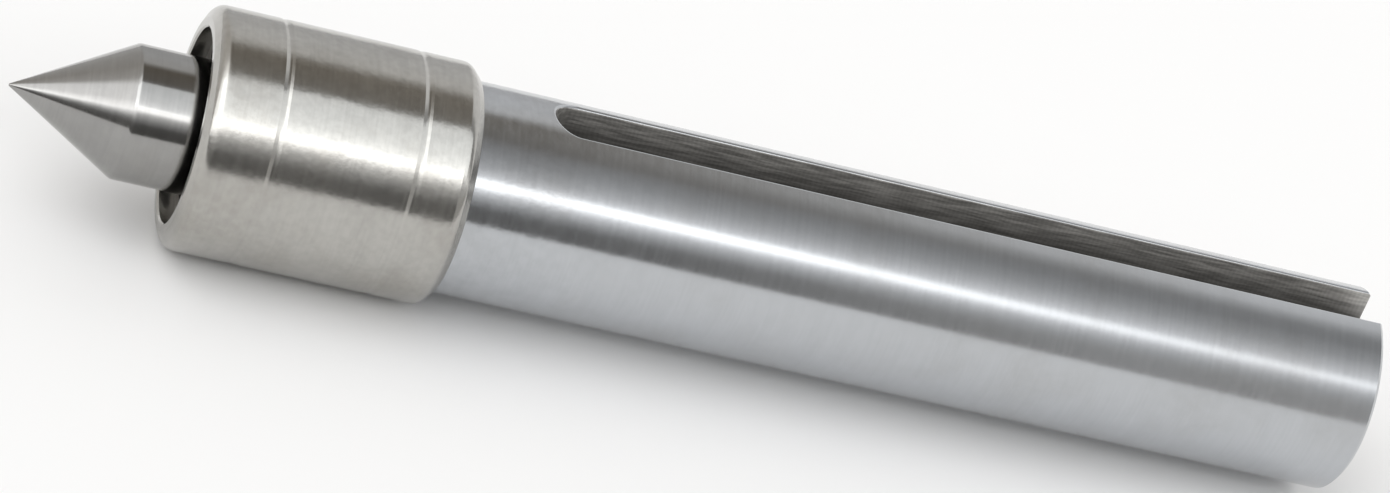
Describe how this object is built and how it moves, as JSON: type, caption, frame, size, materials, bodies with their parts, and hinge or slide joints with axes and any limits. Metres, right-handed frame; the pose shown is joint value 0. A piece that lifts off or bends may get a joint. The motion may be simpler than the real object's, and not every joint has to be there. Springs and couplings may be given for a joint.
{
  "type": "live center",
  "caption": "Revolving lathe centre: a 60 degree point turns on sealed rolling bearings in a round head, on a long straight round shank with a keyway along its top.",
  "frame": {"origin": "centre of the head's rear shoulder plane, where the straight shank starts", "axes": "+X along the axis towards the shank's rear end, the point is at -X; +Z towards the keyway"},
  "size_m": [0.1586, 0.0274, 0.0274],
  "materials": {
    "polished_tool_steel": "ground and polished hardened steel",
    "satin_head_steel": "turned satin steel, fine lines round the axis",
    "ground_shank_steel": "ground steel, cool and smooth, milled keyway",
    "spring_steel": "dark phosphated spring steel",
    "bearing_steel": "ground bearing steel",
    "bearing_ball_steel": "mirror polished balls",
    "cage_steel": "pressed steel cage",
    "cage_brass": "machined brass cage",
    "seal_rubber": "black moulded rubber seal, lightly oiled",
    "spacer_steel": "turned steel spacer"
  },
  "bodies": {
    "quill": {"bearing_housing": "satin_head_steel", "quill_shank": "ground_shank_steel", "retaining_ring": "spring_steel", "outer_spacer": "spacer_steel", "rear_spacer_sleeve": "spacer_steel", "thrust_housing_washer": "bearing_steel", "front_bearing_outer_ring": "bearing_steel", "front_bearing_seals": "seal_rubber", "second_bearing_outer_ring": "bearing_steel", "second_bearing_seals": "seal_rubber", "rear_bearing_outer_ring": "bearing_steel", "rear_bearing_seals": "seal_rubber"},
    "spindle": {"live_point": "polished_tool_steel", "front_bearing_inner_ring": "bearing_steel", "inner_spacer": "spacer_steel", "second_bearing_inner_ring": "bearing_steel", "thrust_shaft_washer": "bearing_steel", "rear_bearing_inner_ring": "bearing_steel", "spindle_circlip": "spring_steel"},
    "front_ball_set": {"front_bearing_cage": "cage_steel", "front_bearing_balls": "bearing_ball_steel"},
    "second_ball_set": {"second_bearing_cage": "cage_steel", "second_bearing_balls": "bearing_ball_steel"},
    "thrust_ball_set": {"thrust_cage": "cage_brass", "thrust_balls": "bearing_ball_steel"},
    "rear_ball_set": {"rear_bearing_cage": "cage_steel", "rear_bearing_balls": "bearing_ball_steel"}
  },
  "joints": [
    {"name": "spindle_spin", "type": "hinge", "parent": "quill", "child": "spindle", "pos_m": [-0.0304, 0, 0], "axis": [1, 0, 0], "continuous": true},
    {"name": "front_balls_roll", "type": "hinge", "parent": "quill", "child": "front_ball_set", "pos_m": [-0.0244, 0, 0], "axis": [1, 0, 0], "continuous": true},
    {"name": "second_balls_roll", "type": "hinge", "parent": "quill", "child": "second_ball_set", "pos_m": [-0.0164, 0, 0], "axis": [1, 0, 0], "continuous": true},
    {"name": "thrust_balls_roll", "type": "hinge", "parent": "quill", "child": "thrust_ball_set", "pos_m": [-0.01065, 0, 0], "axis": [1, 0, 0], "continuous": true},
    {"name": "rear_balls_roll", "type": "hinge", "parent": "quill", "child": "rear_ball_set", "pos_m": [-0.0029, 0, 0], "axis": [1, 0, 0], "continuous": true}
  ],
  "couplings": [
    {"joint": "front_balls_roll", "follows": "spindle_spin", "ratio": 0.4008},
    {"joint": "second_balls_roll", "follows": "spindle_spin", "ratio": 0.4008},
    {"joint": "thrust_balls_roll", "follows": "spindle_spin", "ratio": 0.5},
    {"joint": "rear_balls_roll", "follows": "spindle_spin", "ratio": 0.3947}
  ]
}
